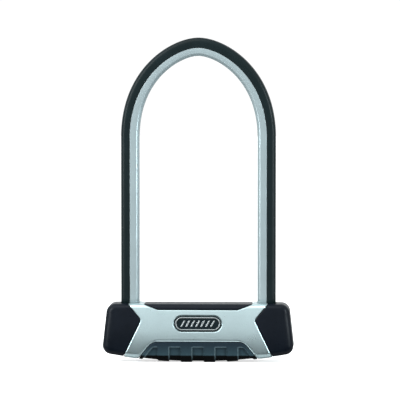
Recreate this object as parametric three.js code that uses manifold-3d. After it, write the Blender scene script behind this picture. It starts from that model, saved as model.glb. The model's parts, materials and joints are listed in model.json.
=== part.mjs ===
// A bicycle U lock, in millimetres, +Z up and the front of the crossbar facing -Y.
// A square steel shackle in a two-coloured plastic sheath plugs into a crossbar. The crossbar is a
// steel case under plastic covers: an X-shaped silver cover on each side, black end caps, a black
// top trim and a ribbed grip underneath, where the keyhole is. Inside, a disc cylinder turns a cam
// with two spiral slots, which push one bolt into a notch in each leg of the shackle.
// The origin is on the surface that the lock stands on, below the middle of the crossbar. At rest
// the shackle is home and the bolts are drawn back.
import * as THREE from "three";
import { mergeVertices } from "three/addons/utils/BufferGeometryUtils.js";
import Module from "manifold-3d";

const wasm = await Module();
wasm.setup();

// ---- Driving dimensions ----
const GAP = 0.3; // between pieces that touch
const SKIRT = 20; // how far a cutter runs past what it cuts

// Shackle: the centre line of its bar is two legs and an arch of two mirrored Bezier curves.
const LEG_X = 63.5; // from the middle to the centre of a leg
const BAR_WIDTH = 13;
const BAR_ROUND = 3;
const SHEATH_WIDTH = 17;
const SHEATH_ROUND = 4.5;
const SHEATH_SPLIT = 0.3; // the black strip starts this far outside the bar's centre line
const SHEATH_FIT = 0.15; // between the bar and the sheath
const ARCH_START = 209; // height at which the legs start to lean in
const ARCH_TOP = 293; // height of the centre line at the crown
const LEG_HANDLE = 60; // Bezier handle, straight up from a leg
const CROWN_HANDLE = 20; // Bezier handle, level, on each side of the crown
const ARCH_STEPS = 28;
const LEG_TIP = 17; // height of the bar's ends when it is home

// Crossbar's outer shape: a rounded outline in X and Z, rounded over towards front and back, with
// a slightly barrelled front and back face.
const BODY_TOP = 55;
const HALF_DEPTH = 19.5;
const EDGE_ROUND = 6;
const CORNER_ROUND = 8;
const TOP_CORNER_X = 84.8; // where the top line and the side line meet, before rounding
const LOW_CORNER_X = 90; // where the side line and the bottom meet, before rounding
const BOTTOM_RADIUS = 470; // the bottom is a long arc that sags in the middle
const BOTTOM_ARC_END = 75;
const BOTTOM_ARC_STEPS = 4; // on each side of the level middle
const BARREL_RADIUS = 175;
const BARREL_Z = 30;
const BARREL_STEPS = 9; // odd, so that the middle facet faces straight forward

// Where the visible covers meet each other, on the front and on the back alike.
const WAIST = [53, 39.6]; // the point of each end cap, where the X is narrowest
const CAP_TOP = [65.3, 54.6]; // end cap's edge, at the top of the crossbar
const CAP_FOOT = [69.3, 5.7]; // end cap's edge, at the bottom of the crossbar
const TRIM_FOOT = [37, 49.3]; // lower corner of the top trim
const TRIM_TOP = [52.6, 55]; // upper corner of the top trim
const GRIP_TOP = [42.3, 19]; // upper corner of the grip
const GRIP_FOOT = [55.2, 3.3]; // lower corner of the grip
const GRIP_ROUND = 3;
const WAIST_ROUND = 1.8;
const RECESS = 0.4; // the black pieces lie this far below the silver X

// Ribs on the grip: they run from front to back round the bottom, with valleys between them.
const RIB_PITCH = 21.4;
const RIB_WIDTH = 10.7;
const RIB_HEIGHT = 1;
const RIB_TOP = 14.3;
const FOOT_HALF_WIDTH = RIB_PITCH / 2 + RIB_WIDTH / 2; // the two middle ribs are the lock's foot

// Badge in the middle of the front cover.
const BADGE_Z = 36.4;
const BADGE_RECESS = { halfWidth: 22.3, halfHeight: 7.6, floor: 17.9 };
const BADGE_PLATE = { halfWidth: 21.9, halfHeight: 7.2, back: 18, front: 18.6 };
const BADGE_RIM = { halfWidth: 21.1, halfHeight: 6.4, width: 1.2, back: 18.65, front: 19.25 };
const BADGE_BARS = { count: 7, pitch: 4.6, width: 1.7, halfHeight: 2.9, lean: 1.6, front: 19.05 };

// Steel case inside the covers.
const CASE_HALF_LENGTH = 80;
const CASE_HALF_DEPTH = 15;
const CASE_BOTTOM = 10;
const CASE_TOP = 49.5;
const CASE_WALL = 2.5;
const CASE_ROUND = 2;
const END_PLATE = 3.2;
const LEG_CLEARANCE = 0.35; // round the bar, in the case and in the sockets

// Leg seals, under the top of the covers, and the mouth that the sheath's end sits in.
const SEAL_HALF_WIDTH = 9.6;
const SEAL_FLOOR = CASE_TOP + GAP;
const SEAL_TOP = 52.2;
const SHEATH_END = 52.6;
const MOUTH_HALF_WIDTH = 8.9;

// Sockets that take the legs, and the rails that carry the bolts.
const SOCKET = { inner: 53.6, outer: 76.4, top: 46.3, floor: 16.5 };
const RAIL = { inner: 14.5, outer: 53.2, sheet: 2, top: 37.5 };

// Bolts, their pins and the cam. The pins ride in slots whose radius grows evenly with the angle.
const THROW = 4.2;
const THROW_ANGLE = Math.PI / 2;
const BOLT = { inner: 2.2, tip: 56.5, halfDepth: 6, bottom: 37.8, top: 45.8, chamfer: 0.8 };
const NOTCH_DEPTH = 5;
const PIN_RADIUS = 1.2;
const PIN_HOME = 4.6; // distance of a pin from the cylinder's axis, with its bolt drawn back
const CAM = { radius: 11.2, bottom: 34.4, top: 37.4, slotHalfWidth: 1.45, spigotRadius: 6.1, spigot: 32.2 };

// Disc cylinder, upright in the middle of the case. Its face looks down at the keyhole.
const CYLINDER_FACE = 7.6;
const HOUSING = { radius: 11, bore: 8.3, top: 33.8 };
const PLUG = { radius: 8, bore: 6.4, face: 2, top: 33.9 };
const KEYWAY = { halfWidth: 1.7, halfHeight: 3.8 };
const GUARD = { bottom: 9.9, top: 12.3 };
const DISC = { count: 8, radius: 6.1, first: 12.5, pitch: 2.4, thickness: 1.6 };
const DISC_GATE = { depth: 1.2, halfWidth: 0.8 };
const SPACER = { bore: 4.3, thickness: 0.45 };
const SIDEBAR = { halfWidth: 0.9, inner: 6.5, outer: 7.7, bottom: 12.4, top: 31 };
const RETAINING_PIN = { radius: 1.6, x: 12, z: 20, clearance: 0.25 };

// Keyhole in the grip, its sprung shutter, and the pocket that the shutter slides in.
const KEYHOLE = { halfWidth: 4.6, halfDepth: 6.2, round: 3 };
const SHUTTER = { halfWidth: 5.8, halfDepth: 7.8, bottom: 4.9, top: 7.2, travel: 8.5 };
const SPRING = { radius: 1, wire: 0.25, length: 14.5, turns: 7, z: 5.95 };
const POCKET_GAP = 0.25;

// ---- Materials ----
const finish = (color, roughness, metalness) =>
  new THREE.MeshStandardMaterial({ color, roughness, metalness });
const MATERIALS = {
  silverCover: finish(0xb4bfc2, 0.34, 0.85),
  silverSheath: finish(0xb2bec2, 0.38, 0.55),
  blackSheath: finish(0x1e2628, 0.42, 0),
  blackCover: finish(0x1a1f24, 0.5, 0),
  grip: finish(0x1e282b, 0.58, 0),
  badge: finish(0x10181b, 0.3, 0),
  badgeRim: finish(0xc8d0d2, 0.25, 0.95),
  hardenedSteel: finish(0x8d9092, 0.4, 1),
  caseSteel: finish(0x55585b, 0.5, 1),
  castZinc: finish(0x9a9c9d, 0.55, 0.9),
  brass: finish(0xb08d4a, 0.35, 1),
  rubber: finish(0x151617, 0.8, 0),
};

// ---- Tools ----
const MERGE_DISTANCE = 1e-4;

function solidOf(geometry) {
  const bare = geometry.index ? geometry.toNonIndexed() : geometry.clone();
  Object.keys(bare.attributes)
    .filter((name) => name !== "position")
    .forEach((name) => bare.deleteAttribute(name));
  const merged = mergeVertices(bare, MERGE_DISTANCE);
  const vertProperties = merged.attributes.position.array;
  const triVerts = new Uint32Array(merged.index.array);
  return new wasm.Manifold(new wasm.Mesh({ numProp: 3, vertProperties, triVerts }));
}

function geometryOf(solid) {
  const { numProp, vertProperties, triVerts } = solid.getMesh();
  const positions = new Float32Array((vertProperties.length / numProp) * 3);
  for (let i = 0; i * numProp < vertProperties.length; i++) {
    positions.set(vertProperties.subarray(i * numProp, i * numProp + 3), i * 3);
  }
  const geometry = new THREE.BufferGeometry();
  geometry.setAttribute("position", new THREE.BufferAttribute(positions, 3));
  geometry.setIndex(new THREE.BufferAttribute(triVerts, 1));
  geometry.computeVertexNormals();
  return geometry;
}

const cut = (solid, ...cutters) => cutters.reduce((left, cutter) => left.subtract(cutter), solid);
const join = (...solids) => solids.reduce((all, solid) => all.add(solid));

function box([x0, x1], [y0, y1], [z0, z1]) {
  const geometry = new THREE.BoxGeometry(x1 - x0, y1 - y0, z1 - z0);
  return solidOf(geometry.translate((x0 + x1) / 2, (y0 + y1) / 2, (z0 + z1) / 2));
}

// A box between two distances from the middle plane, on the right (side 1) or the left (side -1).
function sideBox(side, [x0, x1], ys, zs) {
  return box(side > 0 ? [x0, x1] : [-x1, -x0], ys, zs);
}

function uprightCylinder(radius, [z0, z1], segments, x = 0, y = 0) {
  const geometry = new THREE.CylinderGeometry(radius, radius, z1 - z0, segments).rotateX(Math.PI / 2);
  return solidOf(geometry.translate(x, y, (z0 + z1) / 2));
}

// A shape from corners [x, y, radius], with each radius drawn as an arc.
function roundedShape(corners) {
  const shape = new THREE.Shape();
  const at = (i) => new THREE.Vector2(...corners[(i + corners.length) % corners.length]);
  corners.forEach(([x, y, radius = 0], i) => {
    if (!radius) {
      if (i) shape.lineTo(x, y);
      else shape.moveTo(x, y);
      return;
    }
    const corner = at(i);
    const before = at(i - 1).sub(corner).normalize();
    const after = at(i + 1).sub(corner).normalize();
    const half = Math.acos(before.dot(after)) / 2;
    const middle = before.clone().add(after).setLength(radius / Math.sin(half)).add(corner);
    const start = before.clone().multiplyScalar(radius / Math.tan(half)).add(corner).sub(middle);
    const end = after.clone().multiplyScalar(radius / Math.tan(half)).add(corner).sub(middle);
    const clockwise = before.cross(after) > 0;
    shape.absarc(middle.x, middle.y, radius, start.angle(), end.angle(), clockwise);
  });
  return shape;
}

const roundedRectangle = (halfWidth, halfHeight, radius, x = 0, y = 0) =>
  roundedShape([
    [x - halfWidth, y - halfHeight, radius],
    [x + halfWidth, y - halfHeight, radius],
    [x + halfWidth, y + halfHeight, radius],
    [x - halfWidth, y + halfHeight, radius],
  ]);

// Extrudes a shape drawn in the plane across an axis: X and Z for y, Y and Z for x, X and Y for z.
function extrude(axis, shape, [from, to], options = {}) {
  const bevel = options.bevelThickness ?? 0;
  const depth = to - from - 2 * bevel;
  const geometry = new THREE.ExtrudeGeometry(shape, {
    depth,
    curveSegments: 2,
    bevelEnabled: bevel > 0,
    ...options,
  });
  geometry.translate(0, 0, bevel);
  if (axis === "z") return solidOf(geometry.translate(0, 0, from));
  if (axis === "y") return solidOf(geometry.rotateX(Math.PI / 2).translate(0, to, 0));
  const turned = new THREE.Matrix4().makeBasis(
    new THREE.Vector3(0, 1, 0),
    new THREE.Vector3(0, 0, 1),
    new THREE.Vector3(1, 0, 0),
  );
  return solidOf(geometry.applyMatrix4(turned).translate(from, 0, 0));
}

// ---- Shackle ----
// The centre line, with one step for each straight leg and the others along the arch.
class ShackleCurve extends THREE.Curve {
  constructor(legBottom) {
    super();
    this.legBottom = legBottom;
    this.halfArch = new THREE.CubicBezierCurve(
      new THREE.Vector2(LEG_X, ARCH_START),
      new THREE.Vector2(LEG_X, ARCH_START + LEG_HANDLE),
      new THREE.Vector2(CROWN_HANDLE, ARCH_TOP),
      new THREE.Vector2(0, ARCH_TOP),
    );
  }

  getUtoTmapping(u) {
    return u;
  }

  getPoint(t, target = new THREE.Vector3()) {
    const step = t * (ARCH_STEPS + 2);
    const side = t < 0.5 ? -1 : 1;
    const fromLegEnd = Math.min(step, ARCH_STEPS + 2 - step);
    if (fromLegEnd < 1) {
      const z = THREE.MathUtils.lerp(this.legBottom, ARCH_START, fromLegEnd);
      return target.set(side * LEG_X, 0, z);
    }
    const { x, y } = this.halfArch.getPoint(((fromLegEnd - 1) * 2) / ARCH_STEPS);
    return target.set(side * x, 0, y);
  }
}

function sweep(shape, legBottom) {
  const extrudePath = new ShackleCurve(legBottom);
  return solidOf(new THREE.ExtrudeGeometry(shape, { extrudePath, steps: ARCH_STEPS + 2, curveSegments: 2 }));
}

function shackleBar() {
  const bar = sweep(roundedRectangle(BAR_WIDTH / 2, BAR_WIDTH / 2, BAR_ROUND), LEG_TIP);
  const legFace = LEG_X - BAR_WIDTH / 2;
  const notches = [-1, 1].map((side) =>
    sideBox(
      side,
      [legFace - SKIRT, legFace + NOTCH_DEPTH],
      [-SKIRT, SKIRT],
      [BOLT.bottom - 0.6, BOLT.top + 0.6],
    ),
  );
  return cut(bar, ...notches);
}

// One strip of the sheath: a channel round the outward (1) or the inward (-1) side of the bar. The
// section's y axis points inward all along the sweep.
function sheathStrip(side) {
  const outer = SHEATH_WIDTH / 2;
  const inner = BAR_WIDTH / 2 + SHEATH_FIT;
  const innerRound = BAR_ROUND + SHEATH_FIT;
  const edge = -SHEATH_SPLIT - side * SHEATH_FIT;
  return sweep(
    roundedShape([
      [-outer, edge],
      [-outer, -side * outer, SHEATH_ROUND],
      [outer, -side * outer, SHEATH_ROUND],
      [outer, edge],
      [inner, edge],
      [inner, -side * inner, innerRound],
      [-inner, -side * inner, innerRound],
      [-inner, edge],
    ]),
    SHEATH_END,
  );
}

// ---- Crossbar's outer shape ----
const bottomAt = (x) => {
  const sag = (distance) => BOTTOM_RADIUS - Math.sqrt(BOTTOM_RADIUS ** 2 - distance ** 2);
  return sag(x) - sag(FOOT_HALF_WIDTH);
};

function bodyOutline() {
  const steps = [...Array(BOTTOM_ARC_STEPS + 1).keys()];
  const arcX = steps.map((i) => THREE.MathUtils.lerp(FOOT_HALF_WIDTH, BOTTOM_ARC_END, i / BOTTOM_ARC_STEPS));
  const rightArc = arcX.map((x) => [x, bottomAt(x)]);
  const leftArc = arcX.map((x) => [-x, bottomAt(x)]).reverse();
  return roundedShape([
    [-TOP_CORNER_X, BODY_TOP, CORNER_ROUND],
    [-LOW_CORNER_X, bottomAt(LOW_CORNER_X), CORNER_ROUND],
    ...leftArc,
    ...rightArc,
    [LOW_CORNER_X, bottomAt(LOW_CORNER_X), CORNER_ROUND],
    [TOP_CORNER_X, BODY_TOP, CORNER_ROUND],
  ]);
}

// The lens that gives the front and back faces their slight barrel.
function barrel(inset) {
  const radius = BARREL_RADIUS - inset;
  const offset = BARREL_RADIUS - HALF_DEPTH;
  const spread = 0.225; // radians above and below the middle, past the crossbar's height
  const arc = (side) =>
    [...Array(BARREL_STEPS + 1).keys()].map((i) => {
      const angle = THREE.MathUtils.lerp(-spread, spread, i / BARREL_STEPS);
      return [side * (radius * Math.cos(angle) - offset), BARREL_Z + side * radius * Math.sin(angle)];
    });
  return extrude("x", roundedShape([...arc(1), ...arc(-1)]), [-LOW_CORNER_X - SKIRT, LOW_CORNER_X + SKIRT]);
}

function envelope(inset = 0) {
  const half = HALF_DEPTH - inset;
  const slab = extrude("y", bodyOutline(), [-half, half], {
    bevelThickness: EDGE_ROUND,
    bevelSize: EDGE_ROUND,
    bevelOffset: -EDGE_ROUND - inset,
    bevelSegments: 3,
  });
  return slab.intersect(barrel(inset));
}

// ---- Zones: each runs from front to back. A grown zone leaves the gap round the piece. ----
const lineThrough = ([x0, z0], [x1, z1], z) => x0 + ((x1 - x0) * (z - z0)) / (z1 - z0);

function capZone(side, grow = 0) {
  const top = BODY_TOP + SKIRT;
  const corners = [
    [lineThrough(WAIST, CAP_FOOT, -SKIRT) - grow, -SKIRT],
    [LOW_CORNER_X + SKIRT, -SKIRT],
    [LOW_CORNER_X + SKIRT, top],
    [lineThrough(WAIST, CAP_TOP, top) - grow, top],
    [WAIST[0] - grow, WAIST[1], WAIST_ROUND],
  ];
  const shape = roundedShape(corners.map(([x, z, radius]) => [side * x, z, radius]));
  return extrude("y", shape, [-HALF_DEPTH - SKIRT, HALF_DEPTH + SKIRT], { curveSegments: 1 });
}

function middleZone([x0, z0], [x1, z1], radius, grow) {
  const end = z1 > z0 ? BODY_TOP + SKIRT : -SKIRT;
  const foot = z1 > z0 ? z0 - grow : z0 + grow;
  const far = lineThrough([x0, z0], [x1, z1], end) + grow;
  const shape = roundedShape([
    [-x0 - grow, foot, radius],
    [x0 + grow, foot, radius],
    [far, end],
    [-far, end],
  ]);
  return extrude("y", shape, [-HALF_DEPTH - SKIRT, HALF_DEPTH + SKIRT], { curveSegments: 1 });
}

const trimZone = (grow = 0) => middleZone(TRIM_FOOT, TRIM_TOP, 0, grow);
const gripZone = (grow = 0) => middleZone(GRIP_TOP, GRIP_FOOT, GRIP_ROUND, grow);

// ---- Room that the covers leave for what is inside them ----
const caseRoom = box(
  [-CASE_HALF_LENGTH - GAP, CASE_HALF_LENGTH + GAP],
  [-CASE_HALF_DEPTH - GAP, CASE_HALF_DEPTH + GAP],
  [CASE_BOTTOM - GAP, CASE_TOP + GAP],
);

const legMouths = join(
  ...[-1, 1].map((side) => {
    const x = side * LEG_X;
    const sealHalf = SEAL_HALF_WIDTH + GAP / 2;
    return join(
      extrude("z", roundedRectangle(MOUTH_HALF_WIDTH, MOUTH_HALF_WIDTH, SHEATH_ROUND, x), [
        SEAL_TOP,
        BODY_TOP + SKIRT,
      ]),
      extrude("z", roundedRectangle(sealHalf, sealHalf, SHEATH_ROUND, x), [CASE_TOP, SEAL_TOP + 0.1]),
    );
  }),
);

// ---- Covers ----
function sideCover(face) {
  const half = face < 0 ? [-HALF_DEPTH - SKIRT, -GAP / 2] : [GAP / 2, HALF_DEPTH + SKIRT];
  const halfSpace = box([-LOW_CORNER_X, LOW_CORNER_X], half, [-SKIRT, BODY_TOP + SKIRT]);
  const cover = cut(
    envelope().intersect(halfSpace),
    caseRoom,
    legMouths,
    capZone(1, GAP),
    capZone(-1, GAP),
    trimZone(GAP),
    gripZone(GAP),
  );
  if (face > 0) return cover;
  const { halfWidth, halfHeight, floor } = BADGE_RECESS;
  const pill = roundedRectangle(halfWidth, halfHeight, halfHeight - 0.01, 0, BADGE_Z);
  return cut(cover, extrude("y", pill, [-HALF_DEPTH - SKIRT, -floor], { curveSegments: 3 }));
}

const endCap = (side) => cut(envelope(RECESS).intersect(capZone(side)), caseRoom, legMouths);

const topTrim = () => cut(envelope(RECESS).intersect(trimZone()), caseRoom);

function bottomGrip() {
  const ribEnd = RIB_PITCH / 2 + RIB_WIDTH / 2;
  const valleys = [
    [-RIB_PITCH / 2 + RIB_WIDTH / 2, RIB_PITCH / 2 - RIB_WIDTH / 2],
    [ribEnd, ribEnd + RIB_PITCH - RIB_WIDTH],
    [ribEnd + RIB_PITCH, GRIP_FOOT[0] + SKIRT],
  ];
  const valleyRoom = join(
    ...valleys.flatMap((xs) =>
      [-1, 1].map((side) => sideBox(side, xs, [-SKIRT * 2, SKIRT * 2], [-SKIRT, RIB_TOP])),
    ),
  );
  const { travel, halfWidth, halfDepth, bottom } = SHUTTER;
  const plateRoom = box(
    [-halfWidth - POCKET_GAP, halfWidth + travel + POCKET_GAP],
    [-halfDepth - POCKET_GAP, halfDepth + POCKET_GAP],
    [bottom - POCKET_GAP, CASE_BOTTOM],
  );
  const springReach = SPRING.radius + SPRING.wire + POCKET_GAP;
  const springRoom = box(
    [halfWidth, halfWidth + SPRING.length + 2 * POCKET_GAP],
    [-springReach, springReach],
    [SPRING.z - springReach, CASE_BOTTOM],
  );
  const keyhole = roundedRectangle(KEYHOLE.halfWidth, KEYHOLE.halfDepth, KEYHOLE.round);
  return cut(
    envelope().intersect(gripZone()),
    caseRoom,
    valleyRoom.subtract(envelope(RIB_HEIGHT)),
    uprightCylinder(HOUSING.radius + GAP, [CYLINDER_FACE - POCKET_GAP, CASE_BOTTOM], 24),
    plateRoom,
    springRoom,
    extrude("z", keyhole, [-SKIRT, bottom]),
  );
}

// ---- Badge ----
function badgePlate() {
  const { halfWidth, halfHeight, back, front } = BADGE_PLATE;
  const pill = roundedRectangle(halfWidth, halfHeight, halfHeight - 0.01, 0, BADGE_Z);
  const bars = [...Array(BADGE_BARS.count).keys()].map((i) => {
    const x = (i - (BADGE_BARS.count - 1) / 2) * BADGE_BARS.pitch;
    const { width, lean, halfHeight: tall } = BADGE_BARS;
    const bar = roundedShape([
      [x - lean - width / 2, BADGE_Z - tall],
      [x - lean + width / 2, BADGE_Z - tall],
      [x + lean + width / 2, BADGE_Z + tall],
      [x + lean - width / 2, BADGE_Z + tall],
    ]);
    return extrude("y", bar, [-BADGE_BARS.front, -back]);
  });
  return join(extrude("y", pill, [-front, -back], { curveSegments: 3 }), ...bars);
}

function badgeRim() {
  const { halfWidth, halfHeight, width, back, front } = BADGE_RIM;
  const ring = roundedRectangle(halfWidth, halfHeight, halfHeight - 0.01, 0, BADGE_Z);
  const inner = halfHeight - width;
  ring.holes.push(roundedRectangle(halfWidth - width, inner, inner - 0.01, 0, BADGE_Z));
  return extrude("y", ring, [-front, -back], { curveSegments: 4 });
}

// ---- Steel case ----
const caseMiddle = (CASE_TOP + CASE_BOTTOM) / 2;
const caseHalfHeight = (CASE_TOP - CASE_BOTTOM) / 2;

function lockCase() {
  const outer = roundedRectangle(CASE_HALF_DEPTH, caseHalfHeight, CASE_ROUND, 0, caseMiddle);
  const inside = roundedRectangle(
    CASE_HALF_DEPTH - CASE_WALL,
    caseHalfHeight - CASE_WALL,
    0.5,
    0,
    caseMiddle,
  );
  const legHalf = BAR_WIDTH / 2 + LEG_CLEARANCE;
  const legHoles = [-1, 1].map((side) =>
    extrude(
      "z",
      roundedRectangle(legHalf, legHalf, BAR_ROUND, side * LEG_X),
      [CASE_TOP - 2 * CASE_WALL, CASE_TOP + SKIRT],
    ),
  );
  return cut(
    extrude("x", outer, [-CASE_HALF_LENGTH, CASE_HALF_LENGTH], { curveSegments: 1 }),
    extrude("x", inside, [-CASE_HALF_LENGTH - SKIRT, CASE_HALF_LENGTH + SKIRT], { curveSegments: 1 }),
    ...legHoles,
    uprightCylinder(HOUSING.radius + GAP, [CASE_BOTTOM - SKIRT, CASE_BOTTOM + 5], 32),
    ...[-1, 1].map((side) => retainingPin(side, RETAINING_PIN.clearance, SKIRT * 2)),
  );
}

function endPlate(side) {
  const wide = CASE_HALF_DEPTH - CASE_WALL - 0.15;
  const tall = caseHalfHeight - CASE_WALL - 0.15;
  return sideBox(
    side,
    [CASE_HALF_LENGTH - END_PLATE, CASE_HALF_LENGTH],
    [-wide, wide],
    [caseMiddle - tall, caseMiddle + tall],
  );
}

// ---- What takes the legs ----
const insideHalfDepth = CASE_HALF_DEPTH - CASE_WALL - 0.2;
const insideFloor = CASE_BOTTOM + CASE_WALL + 0.2;

function legSocket(side) {
  const bore = BAR_WIDTH / 2 + LEG_CLEARANCE;
  return cut(
    sideBox(
      side,
      [SOCKET.inner, SOCKET.outer],
      [-insideHalfDepth, insideHalfDepth],
      [insideFloor, SOCKET.top],
    ),
    extrude("z", roundedRectangle(bore, bore, BAR_ROUND, side * LEG_X), [SOCKET.floor, SOCKET.top + SKIRT]),
    sideBox(
      side,
      [SOCKET.inner - SKIRT, LEG_X],
      [-BOLT.halfDepth - GAP, BOLT.halfDepth + GAP],
      [BOLT.bottom - GAP, SOCKET.top + SKIRT],
    ),
  );
}

function legSeal(side) {
  const ring = roundedRectangle(SEAL_HALF_WIDTH, SEAL_HALF_WIDTH, SHEATH_ROUND, side * LEG_X);
  const bore = BAR_WIDTH / 2 + 0.2;
  ring.holes.push(roundedRectangle(bore, bore, BAR_ROUND, side * LEG_X));
  return extrude("z", ring, [SEAL_FLOOR, SEAL_TOP]);
}

// ---- Bolts and what carries them ----
function boltRail(side) {
  const xs = [RAIL.inner, RAIL.outer];
  const inside = insideHalfDepth - RAIL.sheet;
  return cut(
    sideBox(side, xs, [-insideHalfDepth, insideHalfDepth], [insideFloor, RAIL.top]),
    box([-SKIRT * 4, SKIRT * 4], [-inside, inside], [insideFloor - 1, RAIL.top - RAIL.sheet]),
  );
}

function bolt(side) {
  const { inner, tip, halfDepth, bottom, top, chamfer } = BOLT;
  const section = roundedRectangle(halfDepth, (top - bottom) / 2, 1, 0, (top + bottom) / 2);
  const bar = extrude("x", section, side > 0 ? [inner, tip] : [-tip, -inner], {
    curveSegments: 1,
    bevelThickness: chamfer,
    bevelSize: chamfer,
    bevelOffset: -chamfer,
    bevelSegments: 1,
  });
  const pinHole = uprightCylinder(PIN_RADIUS + 0.1, [bottom - 1, top - 2], 16, side * PIN_HOME);
  return bar.subtract(pinHole);
}

const boltPin = (side) =>
  uprightCylinder(PIN_RADIUS, [CAM.bottom + GAP, BOLT.top - 2.3], 16, side * PIN_HOME);

// A slot along a spiral: at an angle a behind the pin's line, its radius is the pin's after a turn of a.
function camSlot(side) {
  const overtravel = 0.05;
  const steps = 10;
  const spiral = (share) => {
    const turn = THREE.MathUtils.lerp(-overtravel, THROW_ANGLE + overtravel, share);
    const radius = PIN_HOME + (THROW * turn) / THROW_ANGLE;
    return new THREE.Vector2(side * radius, 0).rotateAround(new THREE.Vector2(), -turn);
  };
  const edgePoint = (share, offset) => {
    const along = spiral(share + 0.01).sub(spiral(share - 0.01)).normalize();
    return spiral(share).add(new THREE.Vector2(-along.y, along.x).multiplyScalar(offset));
  };
  const shares = [...Array(steps + 1).keys()].map((i) => i / steps);
  const edge = (offset) => shares.map((share) => edgePoint(share, offset));
  const outline = [...edge(CAM.slotHalfWidth), ...edge(-CAM.slotHalfWidth).reverse()];
  const z = [CAM.bottom - 0.01, CAM.top + 1];
  const ends = [spiral(0), spiral(1)].map(({ x, y }) => uprightCylinder(CAM.slotHalfWidth, z, 16, x, y));
  return join(extrude("z", new THREE.Shape(outline), z), ...ends);
}

function boltCam() {
  const disc = uprightCylinder(CAM.radius, [CAM.bottom, CAM.top], 32);
  const spigot = uprightCylinder(CAM.spigotRadius, [CAM.spigot, CAM.bottom + 0.5], 24);
  return join(cut(disc, camSlot(1), camSlot(-1)), cut(spigot, camSlot(1), camSlot(-1)));
}

// ---- Disc cylinder ----
function retainingPin(side, clearance = 0, length = CASE_HALF_DEPTH * 2 - 0.4) {
  const { radius, x, z } = RETAINING_PIN;
  const geometry = new THREE.CylinderGeometry(radius + clearance, radius + clearance, length, 16);
  return solidOf(geometry.translate(side * x, 0, z));
}

function cylinderHousing() {
  const sidebarGroove = box([-1.3, 1.3], [0, HOUSING.bore + 1.2], [SIDEBAR.bottom - 0.5, SIDEBAR.top + 0.5]);
  return cut(
    uprightCylinder(HOUSING.radius, [CYLINDER_FACE, HOUSING.top], 32),
    uprightCylinder(HOUSING.bore, [CYLINDER_FACE - 1, HOUSING.top + 1], 32),
    sidebarGroove,
    ...[-1, 1].map((side) => retainingPin(side, RETAINING_PIN.clearance)),
  );
}

const keywayCutter = (zs) =>
  box([-KEYWAY.halfWidth, KEYWAY.halfWidth], [-KEYWAY.halfHeight, KEYWAY.halfHeight], zs);

function cylinderPlug() {
  const slot = box(
    [-SIDEBAR.halfWidth - 0.2, SIDEBAR.halfWidth + 0.2],
    [0, PLUG.radius + 1],
    [SIDEBAR.bottom - 0.3, SIDEBAR.top + 0.3],
  );
  return cut(
    uprightCylinder(PLUG.radius, [CYLINDER_FACE, PLUG.top], 32),
    uprightCylinder(PLUG.bore, [CYLINDER_FACE + PLUG.face, PLUG.top + 1], 32),
    keywayCutter([0, PLUG.top]),
    slot,
  );
}

const guardDisc = () =>
  cut(uprightCylinder(DISC.radius, [GUARD.bottom, GUARD.top], 24), keywayCutter([0, PLUG.top]));

// Each disc has its gate at an angle of its own, as the key's cuts would set it.
function detainerDisc(index) {
  const bottom = DISC.first + index * DISC.pitch;
  const gateTurn = (0.35 + 0.3 * ((index * 3) % DISC.count)) * Math.PI;
  const gate = new THREE.BoxGeometry(2 * DISC_GATE.halfWidth, 2 * DISC_GATE.depth, DISC.thickness + 1);
  gate.translate(0, DISC.radius, bottom + DISC.thickness / 2).rotateZ(gateTurn);
  const disc = uprightCylinder(DISC.radius, [bottom, bottom + DISC.thickness], 24);
  return cut(disc, keywayCutter([0, PLUG.top]), solidOf(gate));
}

function discSpacer(index) {
  const bottom = DISC.first + index * DISC.pitch + DISC.thickness;
  const rest = (DISC.pitch - DISC.thickness - SPACER.thickness) / 2;
  const zs = [bottom + rest, bottom + rest + SPACER.thickness];
  return cut(uprightCylinder(DISC.radius, zs, 20), uprightCylinder(SPACER.bore, [0, PLUG.top], 20));
}

const sidebar = () =>
  box([-SIDEBAR.halfWidth, SIDEBAR.halfWidth], [SIDEBAR.inner, SIDEBAR.outer], [SIDEBAR.bottom, SIDEBAR.top]);

// ---- Keyhole shutter ----
function keyholeShutter() {
  const { halfWidth, halfDepth, bottom, top } = SHUTTER;
  const plate = box([-halfWidth, halfWidth], [-halfDepth, halfDepth], [bottom, top]);
  // A shallow ramp in the lower face lets the key's tip push the shutter aside.
  const ramp = roundedShape([
    [-halfWidth + 1.2, bottom - 1],
    [halfWidth - 1.5, bottom - 1],
    [halfWidth - 1.5, bottom],
    [-halfWidth + 1.2, bottom + 1.1],
  ]);
  return cut(plate, extrude("y", ramp, [-KEYWAY.halfHeight - 0.4, KEYWAY.halfHeight + 0.4]));
}

class SpringCurve extends THREE.Curve {
  getPoint(t, target = new THREE.Vector3()) {
    const angle = t * SPRING.turns * 2 * Math.PI;
    const start = SHUTTER.halfWidth + POCKET_GAP + SPRING.wire;
    const x = start + t * (SPRING.length - POCKET_GAP - 2 * SPRING.wire);
    return target.set(x, SPRING.radius * Math.cos(angle), SPRING.z + SPRING.radius * Math.sin(angle));
  }
}

function shutterSpring() {
  const section = new THREE.Shape().absarc(0, 0, SPRING.wire, 0, 2 * Math.PI);
  const points = section.getPoints(3).slice(0, -1);
  const steps = SPRING.turns * 10;
  const path = { extrudePath: new SpringCurve(), steps };
  return solidOf(new THREE.ExtrudeGeometry(new THREE.Shape(points), path));
}

// ---- Assembly ----
const lock = new THREE.Group();
lock.name = "u_lock";

function place(name, solid, material) {
  const mesh = new THREE.Mesh(geometryOf(solid), material);
  mesh.name = name;
  lock.add(mesh);
}

place("shackle_bar", shackleBar(), MATERIALS.hardenedSteel);
place("shackle_sheath_outer", sheathStrip(1), MATERIALS.blackSheath);
place("shackle_sheath_inner", sheathStrip(-1), MATERIALS.silverSheath);

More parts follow.
